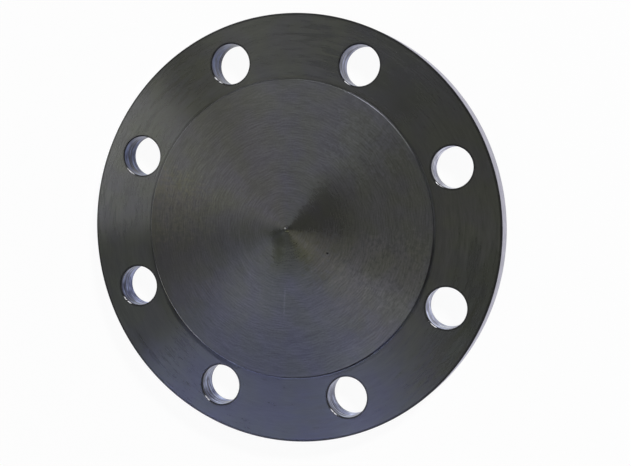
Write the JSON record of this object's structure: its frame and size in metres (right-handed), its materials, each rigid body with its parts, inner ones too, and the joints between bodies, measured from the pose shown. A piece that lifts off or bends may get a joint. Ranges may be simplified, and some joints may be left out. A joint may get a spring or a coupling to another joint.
{
  "type": "blind flange",
  "caption": "Round steel plate with a raised gasket face and a circle of bolt holes, bolted on to close the end of a flanged pipe or nozzle.",
  "frame": {"origin": "centre of the back face, which the flange lies on", "axes": "+Z along the flange's axis, from the back face to the raised face; X and Y lie midway between bolt holes"},
  "size_m": [0.2, 0.2, 0.0145],
  "materials": {
    "turned_steel": "bare steel, faced on a lathe to fine concentric marks, with drilled bolt holes"
  },
  "bodies": {
    "root": {"blind_flange": "turned_steel"}
  },
  "joints": []
}
